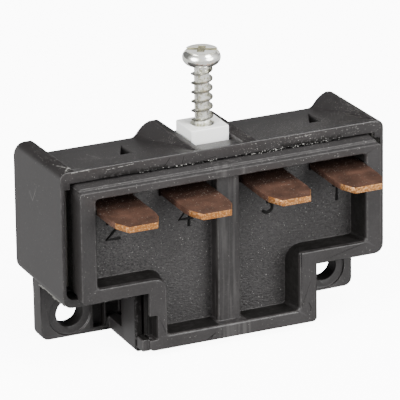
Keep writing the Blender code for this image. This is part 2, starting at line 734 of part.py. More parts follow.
def build_moving_contact(number, offset, axis):
    head = MOVING_CONTACT_DIAMETER / 2
    shank = RIVET_DIAMETER / 2
    upset = head * 0.7
    above = BRIDGE_TOP + RIVET_GAP
    profile = [(0, MOVING_BOTTOM), (head - 0.15 * MM, MOVING_BOTTOM), (head, MOVING_BOTTOM + 0.15 * MM),
               (head, BRIDGE_BOTTOM - RIVET_GAP), (shank, BRIDGE_BOTTOM - RIVET_GAP), (shank, above),
               (upset, above), (upset - 0.1 * MM, above + 0.3 * MM), (0, above + 0.3 * MM)]
    contact = turned("moving_contact_" + number, profile, axis)
    contact.location = (offset, 0, 0)
    smooth_round(contact)
    paint(contact, silver("moving_contact_silver_" + number))
    return contact


def build_bridge(name, axis):
    # Narrow in the middle, where it passes through the plunger's carrier.
    long = CONTACT_REACH + BRIDGE_END
    waist = CARRIER_WIDTH / 2 + 0.5 * MM
    wide = BRIDGE_WIDTH / 2
    narrow = BRIDGE_WAIST / 2
    corner = 0.6 * MM
    outline = rounded([
        (-long, -wide, corner), (-waist - 0.6 * MM, -wide, 0.0), (-waist, -narrow, 0.0),
        (waist, -narrow, 0.0), (waist + 0.6 * MM, -wide, 0.0), (long, -wide, corner),
        (long, wide, corner), (waist + 0.6 * MM, wide, 0.0), (waist, narrow, 0.0),
        (-waist, narrow, 0.0), (-waist - 0.6 * MM, wide, 0.0), (-long, wide, corner)])
    bridge = prism(name, outline, "Z", BRIDGE_BOTTOM, BRIDGE_TOP, axis)
    for index, offset in enumerate((-CONTACT_REACH, CONTACT_REACH)):
        hole = circle(offset, 0, RIVET_DIAMETER + 2 * RIVET_GAP, 16)
        bore = prism(f"{name}_hole_{index}", hole, "Z", BRIDGE_BOTTOM - 1 * MM, BRIDGE_TOP + 1 * MM, axis)
        cut(bridge, bore)
    paint(bridge, copper(name + "_copper"))
    return bridge


# Springs

def build_coil(name, diameter, wire, turns, low, high, axis, offset=0.0, segments=12, sides=6):
    # Compression coil with one nearly closed turn at each end.
    radius = (diameter - wire) / 2
    closed = wire * 1.2
    rise = (high - low - wire) - 2 * closed
    stations = []
    for step in range(turns * segments + 1):
        turn = step / segments
        if turn <= 1:
            height = closed * turn
        elif turn >= turns - 1:
            height = closed + rise + closed * (turn - turns + 1)
        else:
            height = closed + rise * (turn - 1) / (turns - 2)
        angle = 2 * math.pi * turn
        outward = Vector((math.cos(angle), math.sin(angle), 0))
        centre = outward * radius + Vector((offset, 0, low + wire / 2 + height))
        ring = []
        for side in range(sides):
            around = 2 * math.pi * side / sides
            ring.append(centre + (outward * math.cos(around) + Vector((0, 0, math.sin(around)))) * wire / 2)
        stations.append(ring)
    coil = sweep(name, stations, axis)
    smooth_round(coil, 50)
    paint(coil, spring_steel(name + "_steel"))
    return coil


# Plunger

def shoulder_profile():
    front = -SHOULDER_DEPTH / 2
    back = SHOULDER_DEPTH / 2
    return [(front, BAR_BOTTOM), (back, BAR_BOTTOM),
            (back, ceiling_height(PLUNGER_Y + back) - SEAT_GAP),
            (front, ceiling_height(PLUNGER_Y + front) - SEAT_GAP)]


def build_plunger(axis):
    half = PLUNGER_WIDTH / 2
    deep = PLUNGER_DEPTH / 2
    plunger = prism("plunger", rectangle(-half, half, -deep, deep, 0.25 * MM, 2), "Z",
                    COLUMN_BOTTOM, PLUNGER_TOP, axis)
    join_shape(plunger, prism("shoulder", shoulder_profile(), "X", -SHOULDER_WIDTH / 2,
                              SHOULDER_WIDTH / 2, axis))
    reach = POLE_X + CARRIER_WIDTH / 2
    bar = rectangle(-reach, reach, -CARRIER_DEPTH / 2, CARRIER_DEPTH / 2)
    join_shape(plunger, prism("crossbar", bar, "Z", BAR_BOTTOM, BAR_TOP, axis))
    for side, name in ((-1, "left"), (1, "right")):
        middle = side * POLE_X
        wide = CARRIER_WIDTH / 2
        frame = rectangle(-CARRIER_DEPTH / 2, CARRIER_DEPTH / 2, SILL_TOP - SILL_HEIGHT,
                          BAR_TOP - 0.2 * MM, 0.4 * MM, 3)
        join_shape(plunger, prism(name + "_carrier", frame, "X", middle - wide, middle + wide, axis))
        clear = CARRIER_DEPTH / 2 - CARRIER_WALL
        window = rectangle(-clear, clear, SILL_TOP, BAR_BOTTOM)
        cut(plunger, prism(name + "_carrier_window", window, "X", middle - wide - 1 * MM,
                           middle + wide + 1 * MM, axis))
    peg = [(0, COLUMN_BOTTOM - PEG_LENGTH), (PEG_DIAMETER / 2 - 0.3 * MM, COLUMN_BOTTOM - PEG_LENGTH),
           (PEG_DIAMETER / 2, COLUMN_BOTTOM - PEG_LENGTH + 0.3 * MM),
           (PEG_DIAMETER / 2, COLUMN_BOTTOM + 0.5 * MM), (0, COLUMN_BOTTOM + 0.5 * MM)]
    join_shape(plunger, turned("spring_peg", peg, axis, 16))
    bore_bottom = PLUNGER_TOP + SCREW_STANDS - SCREW_LENGTH - 0.8 * MM
    bore = circle(0, 0, SCREW_MAJOR + 0.2 * MM)
    cut(plunger, prism("screw_bore", bore, "Z", bore_bottom, PLUNGER_TOP + 1 * MM, axis))
    paint(plunger, white_nylon("plunger_nylon"))
    return plunger


# Adjusting screw

def thread_ridge(axis, low, high):
    # Thin triangular ridge wound round the shank; it dies into the shank at both ends.
    segments = 12
    count = int((high - low) / SCREW_PITCH * segments)
    stations = []
    for step in range(count + 1):
        angle = 2 * math.pi * step / segments
        height = low + SCREW_PITCH * step / segments
        grown = min(1.0, step / segments, (count - step) / segments)
        crest = SCREW_ROOT / 2 - 0.1 * MM + (SCREW_MAJOR / 2 - SCREW_ROOT / 2 + 0.1 * MM) * grown
        foot = SCREW_ROOT / 2 - 0.15 * MM
        outward = Vector((math.cos(angle), math.sin(angle), 0))
        ring = []
        for radius, lift in ((foot, -0.30), (crest, -0.04), (crest, 0.04), (foot, 0.30)):
            ring.append(outward * radius + Vector((0, 0, height + lift * SCREW_PITCH)))
        stations.append(ring)
    return sweep("thread_ridge", stations, axis)


def build_screw(axis):
    under = PLUNGER_TOP + SCREW_STANDS
    tip = under - SCREW_LENGTH
    root = SCREW_ROOT / 2
    head = HEAD_DIAMETER / 2
    top = under + HEAD_HEIGHT
    profile = [(0, tip), (root * 0.6, tip), (root, tip + 1.0 * MM), (root, under), (head * 0.94, under),
               (head, under + 0.25 * MM), (head * 0.97, under + HEAD_HEIGHT * 0.5),
               (head * 0.80, under + HEAD_HEIGHT * 0.85), (head * 0.55, top), (0, top)]
    screw = turned("adjusting_screw", profile, axis, 32)
    join_shape(screw, thread_ridge(axis, tip + 0.8 * MM, under - 0.5 * MM))
    length = HEAD_DIAMETER * 0.6
    for name, along, across in (("driver_slot", HEAD_DIAMETER, SLOT_WIDTH),
                                ("driver_cross", SLOT_WIDTH, length)):
        slot = rectangle(-along / 2, along / 2, -across / 2, across / 2)
        cut(screw, prism(name, slot, "Z", top - SLOT_DEPTH, top + 1 * MM, axis))
    paint(screw, zinc_plate("screw_zinc"))
    return screw


def build():
    clear_scene()
    body = empty("body_frame", (0, (TAB_REACH - WING_DEPTH) / 2, 0))
    build_housing(body)
    build_terminal_base(body)
    for number, centre in tab_centres():
        build_terminal(number, centre, body)
        build_fixed_contact(number, centre, body)

    plunger_axis = empty("plunger_axis", (0, PLUNGER_Y, 0), body)
    build_plunger(plunger_axis)
    build_screw(plunger_axis)
    spring_floor = BOTTOM_RIM + 0.5 * MM + SEAT_GAP
    build_coil("return_spring", RETURN_COIL_DIAMETER, RETURN_WIRE, RETURN_TURNS,
               spring_floor, COLUMN_BOTTOM - SEAT_GAP, plunger_axis)

    for side, name, numbers in ((-1, "left", ("2", "4")), (1, "right", ("3", "1"))):
        bridge_axis = empty(name + "_bridge_axis", (side * POLE_X, 0, 0), plunger_axis)
        build_bridge(name + "_bridge", bridge_axis)
        for number, offset in zip(numbers, (-CONTACT_REACH, CONTACT_REACH)):
            build_moving_contact(number, offset, bridge_axis)
        build_coil(name + "_contact_spring", CONTACT_COIL_DIAMETER, CONTACT_WIRE, CONTACT_TURNS,
                   BRIDGE_TOP + SEAT_GAP, BAR_BOTTOM - SEAT_GAP, bridge_axis)


build()
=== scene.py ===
import json
import math
import random

import bpy
from mathutils import Matrix, Vector

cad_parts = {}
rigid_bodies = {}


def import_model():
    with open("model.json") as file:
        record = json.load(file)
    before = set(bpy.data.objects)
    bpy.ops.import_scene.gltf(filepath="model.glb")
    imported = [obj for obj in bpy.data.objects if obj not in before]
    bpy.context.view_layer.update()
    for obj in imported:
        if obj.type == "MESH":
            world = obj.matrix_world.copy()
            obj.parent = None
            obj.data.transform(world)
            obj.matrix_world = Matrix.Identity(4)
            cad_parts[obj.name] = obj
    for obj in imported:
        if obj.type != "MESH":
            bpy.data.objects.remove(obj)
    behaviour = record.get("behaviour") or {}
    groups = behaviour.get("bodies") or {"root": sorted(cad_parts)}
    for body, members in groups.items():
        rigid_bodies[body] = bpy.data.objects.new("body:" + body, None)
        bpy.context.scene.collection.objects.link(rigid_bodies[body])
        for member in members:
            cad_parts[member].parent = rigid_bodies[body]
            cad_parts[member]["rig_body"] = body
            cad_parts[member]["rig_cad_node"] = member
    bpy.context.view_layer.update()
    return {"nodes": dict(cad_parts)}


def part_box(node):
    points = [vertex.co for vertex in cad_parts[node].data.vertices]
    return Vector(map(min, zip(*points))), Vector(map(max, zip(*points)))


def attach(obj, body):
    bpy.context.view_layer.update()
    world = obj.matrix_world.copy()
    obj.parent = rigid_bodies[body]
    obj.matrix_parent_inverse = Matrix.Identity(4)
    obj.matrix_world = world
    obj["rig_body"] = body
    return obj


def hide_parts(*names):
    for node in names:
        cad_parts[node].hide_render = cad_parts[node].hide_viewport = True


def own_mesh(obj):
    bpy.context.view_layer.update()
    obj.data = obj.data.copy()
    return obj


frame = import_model()
print("frame loaded")

mm = 0.001
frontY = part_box("housing")[0].y      # the side walls' front edge


# selecting and finishing

def deselectAll():
    if bpy.context.object and bpy.context.object.mode != "OBJECT":
        bpy.ops.object.mode_set(mode="OBJECT")
    bpy.ops.object.select_all(action="DESELECT")


def pick(item):
    deselectAll()
    item.select_set(True)
    bpy.context.view_layer.objects.active = item


def applyPlace(item):
    pick(item)
    bpy.ops.object.transform_apply(location=True, rotation=True, scale=True)


def applyModifiers(item):
    pick(item)
    for modifier in list(item.modifiers):
        bpy.ops.object.modifier_apply(modifier=modifier.name)


def closeCopy(nodeName, pieceName):
    # a merged copy of a CAD node, with its flat faces whole again
    source = frame["nodes"][nodeName]
    pick(source)
    bpy.ops.object.duplicate()
    piece = bpy.context.object
    piece.name = pieceName
    piece.data.name = pieceName
    piece.parent = None
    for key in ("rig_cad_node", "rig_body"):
        if key in piece:
            del piece[key]
    bpy.ops.object.mode_set(mode="EDIT")
    bpy.ops.mesh.select_all(action="SELECT")
    bpy.ops.mesh.remove_doubles(threshold=2e-6)
    bpy.ops.mesh.dissolve_degenerate(threshold=2e-6)
    bpy.ops.object.mode_set(mode="OBJECT")
    return piece


def softenEdges(piece, width, segments=2, angle=38):
    # the new narrow faces are kept in the attribute "edgeWear", which the finishes read
    low = [min(corner.co[axis] for corner in piece.data.vertices) for axis in range(3)]
    high = [max(corner.co[axis] for corner in piece.data.vertices) for axis in range(3)]
    piece.data.materials.clear()
    for name in ("faces", "edges"):
        piece.data.materials.append(bpy.data.materials.new(name))
    bevel = piece.modifiers.new("edges", "BEVEL")
    bevel.width = width
    bevel.segments = segments
    bevel.limit_method = "ANGLE"
    bevel.angle_limit = math.radians(angle)
    bevel.use_clamp_overlap = False
    bevel.miter_outer = "MITER_ARC"
    bevel.material = 1
    normals = piece.modifiers.new("normals", "WEIGHTED_NORMAL")
    normals.keep_sharp = False
    pick(piece)
    bpy.ops.object.shade_smooth()
    applyModifiers(piece)
    # no corner may overshoot the piece's own box
    for corner in piece.data.vertices:
        corner.co = [min(max(corner.co[axis], low[axis]), high[axis]) for axis in range(3)]
    wear = piece.data.color_attributes.new("edgeWear", "FLOAT_COLOR", "CORNER")
    for face in piece.data.polygons:
        value = float(face.material_index)
        for corner in face.loop_indices:
            wear.data[corner].color = (value, value, value, 1.0)
        face.material_index = 0


def combine(target, other, operation):
    modifier = target.modifiers.new(other.name, "BOOLEAN")
    modifier.operation = operation
    modifier.solver = "EXACT"
    modifier.object = other
    applyModifiers(target)
    bpy.data.objects.remove(other, do_unlink=True)


def paint(piece, finish):
    piece.data.materials.clear()
    piece.data.materials.append(finish.material)


def standFor(piece, nodeName, finish):
    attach(piece, frame["nodes"][nodeName]["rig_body"])
    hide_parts(nodeName)
    paint(piece, finish)


def fromFront(place):
    # a place in mm, with its y counted from the front edge
    across, back, up = place
    return Vector((across * mm, frontY + back * mm, up * mm))


# finishes

class Wire:
    # one socket, so that shader sums can be written as plain sums
    def __init__(self, sheet, socket):
        self.sheet = sheet
        self.socket = socket

    def sum(self, operation, first, second=None, clamp=False):
        values = {0: first} if second is None else {0: first, 1: second}
        return self.sheet.node("ShaderNodeMath", {"operation": operation, "use_clamp": clamp}, values)

    def __add__(self, other):
        return self.sum("ADD", self, other)

    def __radd__(self, other):
        return self.sum("ADD", other, self)

    def __sub__(self, other):
        return self.sum("SUBTRACT", self, other)

    def __rsub__(self, other):
        return self.sum("SUBTRACT", other, self)

    def __mul__(self, other):
        return self.sum("MULTIPLY", self, other)

    def __rmul__(self, other):
        return self.sum("MULTIPLY", other, self)

    def __abs__(self):
        return self.sum("ABSOLUTE", self)

    def held(self):
        return self.sum("ADD", self, 0.0, clamp=True)


class Sheet:
    # a node tree, and the few ways in which nodes are added to it
    def __init__(self, tree, coordinates):
        self.tree = tree
        self.place = self.node("ShaderNodeTexCoord", output=coordinates)

    def node(self, kind, settings=None, sockets=None, output=0):
        node = self.tree.nodes.new(kind)
        for name, value in (settings or {}).items():
            setattr(node, name, value)
        for key, value in (sockets or {}).items():
            self.plug(node.inputs[key], value)
        return Wire(self, node.outputs[output])

    def plug(self, socket, value):
        if isinstance(value, Wire):
            self.tree.links.new(value.socket, socket)
        elif socket.type == "RGBA":
            socket.default_value = (*value, 1.0)
        else:
            socket.default_value = value

    def noise(self, size, detail=3.0, roughness=0.5, stretch=(1, 1, 1)):
        # size is the width of one patch, in metres
        place = self.node("ShaderNodeMapping", sockets={"Vector": self.place, "Scale": stretch})
        return self.node("ShaderNodeTexNoise", {"noise_dimensions": "3D"}, {
            "Vector": place, "Scale": 1 / size, "Detail": detail, "Roughness": roughness})

    def mix(self, factor, first, second):
        # the colour sockets of a mix node are its inputs 6 and 7 and its output 2
        return self.node("ShaderNodeMix", {"data_type": "RGBA"}, {0: factor, 6: first, 7: second}, output=2)

    def band(self, value, low, high):
        # 0 at low, 1 at high, and held at both ends
        limits = {0: value, 1: low, 2: high, 3: 0.0, 4: 1.0}
        return self.node("ShaderNodeMapRange", {"clamp": True}, limits)

    def patch(self, places, spans):
        # 1 inside a box; a span is its low and high end and their softness in mm, and None is an open end
        inside = 1.0
        for name, (low, high, soft) in spans.items():
            if low is not None:
                inside = inside * self.band(places[name], (low - soft) * mm, low * mm)
            if high is not None:
                inside = inside * self.band(places[name], (high + soft) * mm, high * mm)
        return inside

    def axes(self):
        split = self.node("ShaderNodeSeparateXYZ", sockets={0: self.place}).socket.node
        return [Wire(self, output) for output in split.outputs]

    def line(self, across, up, start, end, width):
        # 1 on a thin straight line between two points of a plane
        along = Vector(end) - Vector(start)
        length = along.length
        along.normalize()
        run = (across - start[0]) * along.x + (up - start[1]) * along.y
        aside = (up - start[1]) * along.x - (across - start[0]) * along.y
        inRun = self.band(run, -width, 0.0) * self.band(run, length + width, length)
        return self.band(abs(aside), width, width / 3) * inRun

    def lines(self, across, up, marks):
        # several lines, with their measures in millimetres
        total = 0.0
        for start, end, width in marks:
            start = [part * mm for part in start]
            end = [part * mm for part in end]
            total = total + self.line(across, up, start, end, width * mm)
        return total


class Finish(Sheet):
    def __init__(self, name, roughness=0.5, metallic=0.0):
        self.material = bpy.data.materials.new(name)
        self.material.use_nodes = True
        super().__init__(self.material.node_tree, "Object")
        self.shader = self.tree.nodes["Principled BSDF"]
        self.shader.inputs["Roughness"].default_value = roughness
        self.shader.inputs["Metallic"].default_value = metallic

    def colour(self, value):
        self.plug(self.shader.inputs["Base Color"], value)

    def rough(self, value):
        self.plug(self.shader.inputs["Roughness"], value)

    def metal(self, value):
        self.plug(self.shader.inputs["Metallic"], value)

    def bump(self, height, distance, strength=1.0):
        self.plug(self.shader.inputs["Normal"], self.node(
            "ShaderNodeBump", sockets={"Height": height, "Distance": distance, "Strength": strength}))

    def edges(self):
        return self.node("ShaderNodeAttribute", {"attribute_name": "edgeWear"}, output="Fac")

    def soilAndShade(self, factor, colour=(0.006, 0.0055, 0.005)):
        # a dark layer without a shine lies over the finish where factor is 1; it serves both as greasy
        # grime and as painted shade
        clean = Wire(self, self.shader.outputs[0])
        dirtAndShade = self.node("ShaderNodeBsdfPrincipled", sockets={
            "Base Color": colour, "Roughness": 0.7, "Specular IOR Level": 0.12})
        soiledAndShaded = self.node("ShaderNodeMixShader", sockets={0: factor, 1: clean, 2: dirtAndShade})
        self.plug(self.tree.nodes["Material Output"].inputs["Surface"], soiledAndShaded)


plastic = {
    "dark": (0.0115, 0.0098, 0.0096),
    "pale": (0.0180, 0.0160, 0.0160),
    "worn": (0.075, 0.071, 0.069),
    "dust": (0.38, 0.37, 0.35),
    "groovePaintedLight": (0.22, 0.215, 0.20),
    "paleFlash": (0.15, 0.147, 0.138),
    "grime": (0.0025, 0.0024, 0.0020),
    "roughness": 0.36,
    "cloud": 6 * mm,             # widths of the patches in each noise
    "grain": 0.30 * mm,
    "speck": 0.18 * mm,
    "hairline": 1.5 * mm,
    "chip": 0.8 * mm,
}


def plasticGround(finish, dusty):
    # cloudy black with fine grain, worn edges, and pale dust specks where dusty is high
    smudge = finish.noise(plastic["cloud"], 4, 0.6)
    grain = finish.noise(plastic["grain"], 3, 0.65)
    specks = finish.band(finish.noise(plastic["speck"], 1, 0.5) + 0.07 * dusty, 0.755, 0.790)
    hairlines = finish.band(finish.noise(plastic["hairline"], 2, 0.5, (0.5, 7, 7)), 0.70, 0.73)
    ragged = finish.band(finish.noise(plastic["chip"], 3, 0.7), 0.40, 0.66)
    base = finish.mix(finish.band(smudge, 0.35, 0.65), plastic["dark"], plastic["pale"])
    base = finish.mix((0.15 * finish.band(grain, 0.45, 0.75)).held(), base, plastic["worn"])
    base = finish.mix((specks * 0.6).held(), base, plastic["dust"])
    base = finish.mix((hairlines * 0.15).held(), base, plastic["worn"])
    base = finish.mix((finish.edges() * ragged * 0.55).held(), base, plastic["worn"])
    rough = plastic["roughness"] + 0.14 * smudge + 0.06 * grain
    return base, rough, grain, smudge


shell = {
    "top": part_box("housing")[1].z,
    "fall": 3.15 / 16.3,         # slope of the top towards the back
    "earX": 18.45 * mm,          # the ears' bores
    "earZ": 3.2 * mm,
    "boreRadius": 1.9 * mm,
}

# patches of the housing, each by its spans in mm: aside is the distance from the middle, deep the depth
# behind the front edge, below the depth under the top edge, and sunk the depth under the sloping top
shellPatches = {
    "top": {"below": (None, 3.2, 0.4), "aside": (None, 22.3, 0.4), "deep": (None, 8.0, 8.0)},
    "right": {"x": (8.0, None, 10.0)},
    "frontEdge": {"deep": (None, 0.1, 0.2)},
    "front": {"deep": (None, 0.3, 0.2)},
    "trough": {"z": (24.2, None, 0.2)},
    "leftSide": {"x": (None, -21.8, 0.2)},
    "scoops": {"sunk": (0.36, None, 0.24), "z": (21.0, None, 1.0), "deep": (6.0, 12.6, 0.1),
               "aside": (9.0, 19.0, 0.5)},
    "groove": {"aside": (20.5, 22.5, 0.1), "z": (9.6, 25.0, 0.1), "deep": (0.5, 4.5, 0.2)},
    "bores": {"deep": (8.2, None, 0.2)},
    "stemWall": {"x": (-12.55, -10.9, 0.15), "z": (0.3, 9.4, 0.1), "deep": (None, 1.2, 0.3)},
    "pocket": {"x": (-15.6, -12.95, 0.1), "z": (0.7, 8.5, 0.3), "deep": (4.5, None, 1.0)},
    "smearRight": {"x": (8.2, 17.0, 0.4), "z": (None, 25.0, 0.5)},
    "smearLeft": {"x": (-17.4, -8.0, 0.4), "z": (None, 25.0, 0.5)},
}

# marks as both ends and a width, in mm: x and z on the front, x and depth on the trough, depth and z on
# the left side; the star of scratches is given by its middle, and each ray by its run and its width
star = (-21.2, 1.7)
starRays = [(-0.9, 1.6, 0.15), (0.9, 1.3, 0.15), (1.6, -0.3, 0.14), (-0.7, -1.0, 0.15), (0.5, -1.4, 0.14)]
frontMarks = [
    ((-21.4, 26.25), (-18.8, 26.3), 0.07), ((-16.5, 25.9), (-12.8, 26.1), 0.06),
    ((10.2, 25.9), (12.6, 26.0), 0.06),
]
frontCracks = [
    ((-8.66, 24.85), (-7.65, 26.05), 0.05), ((-6.13, 24.5), (-5.68, 26.0), 0.05),
    ((-3.4, 24.9), (-1.2, 25.2), 0.05), ((9.6, 25.1), (13.4, 24.95), 0.06),
]
troughMarks = [((-15.1, 10.0), (-15.0, 5.8), 0.06), ((-17.6, 8.2), (-13.6, 4.4), 0.05)]
troughMarks += [(star, (star[0] + across, star[1] + back), width) for across, back, width in starRays]
sideMarks = [((10.8, 20.45), (9.7, 19.5), 0.08), ((9.7, 19.5), (8.6, 21.2), 0.08)]


def housingPlastic():
    finish = Finish("housingPlastic")
    x, y, z = finish.axes()
    deep = y - frontY
    below = shell["top"] - z
    places = {"x": x, "z": z, "aside": abs(x), "deep": deep, "below": below,
              "sunk": below - shell["fall"] * deep}
    on = {name: finish.patch(places, spans) for name, spans in shellPatches.items()}
    # the top and the front band are dusty, more so on the right
    dusty = on["top"] * (1.0 + 0.7 * on["right"] - 0.5 * on["frontEdge"])
    base, rough, grain, smudge = plasticGround(finish, dusty)
    # scratches on the front face, the left trough and the left side, and painted light in the groove: a
    # grey that lifts its shade
    broken = finish.band(finish.noise(0.35 * mm, 2, 0.7), 0.42, 0.56)
    pale = (finish.lines(x, z, frontMarks) * on["front"] * 0.55
            + finish.lines(x, deep, troughMarks) * on["trough"] * 0.6)
    onSide = finish.lines(deep, z, sideMarks) * on["leftSide"]
    base = finish.mix((pale * broken).held(), base, plastic["dust"])
    base = finish.mix((onSide * 0.16).held(), base, plastic["dust"])
    base = finish.mix(on["groove"], base, plastic["groovePaintedLight"])
    # painted shade over the hollows of the top, the ears' bores, the front edge of the stem's left wall and
    # the pocket between the left ear and the stem; greasy grime in the cracks and in smears just above the
    # gap
    earAside, earAbove = abs(x) - shell["earX"], z - shell["earZ"]
    fromBore = earAside * earAside + earAbove * earAbove
    rim = shell["boreRadius"] + 0.05 * mm
    inBore = finish.band(fromBore, rim ** 2, shell["boreRadius"] ** 2) * on["bores"]
    streaky = finish.band(finish.noise(0.9 * mm, 3, 0.6), 0.25, 0.55)
    smudged = finish.band(finish.noise(0.5 * mm, 3, 0.6), 0.40, 0.50)
    smears = (on["smearRight"] + on["smearLeft"]) * on["front"] * smudged
    cracks = finish.lines(x, z, frontCracks) * on["front"]
    finish.soilAndShade((on["scoops"] * 0.9 + cracks * 0.9 + inBore * 0.9 + on["stemWall"] * (0.5 + 0.4 * streaky)
                 + smears * 0.9 + on["pocket"] * 0.55).held())
    finish.colour(base)
    finish.rough((rough + on["scoops"] * 0.4).held())
    finish.bump(grain * 0.25 + smudge * 0.3, 0.02 * mm, 0.8)
    return finish


recess = {
    "lipY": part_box("terminal_base")[0].y,
    "depth": 3.42 * mm,
    "tabSpread": 10.6 * mm,      # the middle of each wing's two tabs
}
recess["floorY"] = recess["lipY"] + recess["depth"]

# patches of the base: deep is the depth behind the lip, above the height over the recess floor, past the
# depth behind the housing's front edge, and fromPair the distance from the middle of a wing's tabs
basePatches = {
    "top": {"z": (23.6, None, 1.0)},
    "floor": {"above": (None, 0.02, 0.04)},
    "farLeft": {"x": (None, -15.0, 7.0)},
    "rib": {"aside": (None, 2.2, 0.2), "past": (None, -0.2, 0.2)},
    "wings": {"aside": (None, 19.8, 0.05), "z": (9.9, 23.6, 0.05)},
    "stem": {"aside": (None, 10.7, 0.05), "z": (1.8, 10.9, 0.05)},
    "walls": {"deep": (0.55, None, 0.25), "above": (0.09, None, 0.04), "aside": (2.1, None, 0.2)},
    "beside": {"aside": (10.7, 12.7, 0.05), "z": (2.35, 9.4, 0.05), "deep": (0.65, None, 0.30)},
    "behind": {"aside": (21.0, None, 0.1), "past": (-1.1, None, 1.0)},
    "lip": {"deep": (None, 0.2, 0.1)},
    "underTabs": {"fromPair": (1.5, 9.0, 0.5), "z": (21.5, None, 4.0)},
}

# small nicks on the lip's front, as (x, z) of both ends and a width, in mm
lipMarks = [
    ((-3.96, 1.0), (-3.2, 1.5), 0.10), ((-3.2, 1.5), (-2.7, 1.8), 0.07), ((-3.4, 1.0), (-3.1, 1.5), 0.08),
    ((10.8, 3.6), (11.1, 2.9), 0.08), ((11.1, 2.9), (11.0, 2.4), 0.07), ((21.5, 9.7), (21.3, 10.2), 0.08),
]


def basePlastic():
    finish = Finish("basePlastic")
    x, y, z = finish.axes()
    places = {"x": x, "z": z, "aside": abs(x), "deep": y - recess["lipY"], "above": recess["floorY"] - y,
              "past": y - frontY, "fromPair": abs(abs(x) - recess["tabSpread"])}
    on = {name: finish.patch(places, spans) for name, spans in basePatches.items()}
    base, rough, grain, smudge = plasticGround(finish, on["top"] * 0.6 + on["floor"] * 0.45)
    # the recess floor is eroded like leather, and the rib is streaked from top to bottom
    pits = finish.noise(0.28 * mm, 3, 0.65, (0.75, 1, 1.25))
    coarse = on["floor"] * (0.55 + 0.45 * on["farLeft"])
    streaks = finish.noise(0.55 * mm, 2, 0.5, (1, 1, 0.06))
    base = finish.mix((coarse * finish.band(pits, 0.44, 0.64) * 0.36).held(), base, plastic["worn"])
    base = finish.mix((coarse * finish.band(pits, 0.48, 0.38) * 0.9).held(), base, plastic["grime"])
    base = finish.mix((on["rib"] * finish.band(streaks, 0.48, 0.66) * 0.45).held(), base, plastic["worn"])
    # painted shade on the recess's walls, in the groove beside the stem, on what lies behind the lip and on
    # the floor under the tabs, and greasy grime in the nicks
    walls = on["walls"] * (on["wings"] + on["stem"]).held()
    streaky = finish.band(finish.noise(1.1 * mm, 3, 0.6), 0.30, 0.60)
    nicks = finish.lines(x, z, lipMarks) * on["lip"]
    finish.soilAndShade((walls * (0.70 + 0.25 * streaky) + on["beside"] * 0.9 + on["behind"] * 0.3
                 + nicks * 0.85 + on["floor"] * on["underTabs"] * 0.3).held())
    finish.colour(base)
    finish.rough((rough + on["floor"] * 0.06 + on["top"] * 0.25).held())
    finish.bump(grain * 0.20 + smudge * 0.3 + on["floor"] * pits * 5.0, 0.03 * mm, 1.0)
    return finish


def numberPaintedShade():
    # the raised numbers are painted darker and smoother than the floor; the dark is painted shade for the
    # shadows along their strokes
    finish = Finish("numberPaintedShade")
    wear = finish.band(finish.noise(0.35 * mm, 3, 0.7), 0.60, 0.72)
    finish.colour(finish.mix((wear * 0.15).held(), plastic["grime"], plastic["pale"]))
    finish.rough((0.55 + 0.2 * wear).held())
    finish.shader.inputs["Specular IOR Level"].default_value = 0.15
    return finish


def flashPlastic():
    # torn and dusty along the front band, and pale under the wing
    finish = Finish("flashPlastic")
    x, y, z = finish.axes()
    specks = finish.band(finish.noise(0.16 * mm, 1, 0.5), 0.60, 0.66)
    underWing = finish.band(z, 13 * mm, 12 * mm)
    base = finish.mix((specks * 0.9).held(), plastic["grime"], plastic["dust"])
    finish.colour(finish.mix(underWing, base, plastic["paleFlash"]))
    finish.rough((0.55 + 0.3 * specks).held())
    finish.shader.inputs["Specular IOR Level"].default_value = 0.2
    return finish


outerTab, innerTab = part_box("terminal_1"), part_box("terminal_3")
tabs = {
    "tipY": outerTab[0].y,
    "outerX": (outerTab[0].x + outerTab[1].x) / 2,
    "innerX": (innerTab[0].x + innerTab[1].x) / 2,
    "width": 6.35 * mm,
    "tip": 4.0 * mm,             # width of the tip
    "taper": 2.1 * mm,           # length of the slanted corners
    "shoulder": 0.2 * mm,        # how far inside the strip's edges they start
}

copper = {
    "dark": (0.140, 0.080, 0.059),
    "light": (0.285, 0.154, 0.109),
    "streak": (0.13, 0.066, 0.045),
    "spot": (0.10, 0.050, 0.040),
    "cut": (0.88, 0.50, 0.23),
    "torn": (0.40, 0.165, 0.055),
    "lipShadow": (0.035, 0.020, 0.016),
    "fleck": (0.75, 0.70, 0.62),
}


def cutCopper(finish, x, y):
    # 1 where freshly cut copper shows, at the tip and on its two slanted corners
    middle, apart = (tabs["outerX"] + tabs["innerX"]) / 2, (tabs["outerX"] - tabs["innerX"]) / 2
    aside = abs(abs(abs(x) - middle) - apart)
    slope = (tabs["width"] / 2 - tabs["shoulder"] - tabs["tip"] / 2) / tabs["taper"]
    slant = (aside - tabs["tip"] / 2) - (y - tabs["tipY"]) * slope
    places = {"back": y - tabs["tipY"], "inward": 0 - slant}
    atTip = finish.patch(places, {"back": (None, 0.07, 0.03)})
    atCorner = finish.patch(places, {"inward": (None, 0.07, 0.03), "back": (None, 2.1, 0.2)})
    return (atTip + atCorner).held()


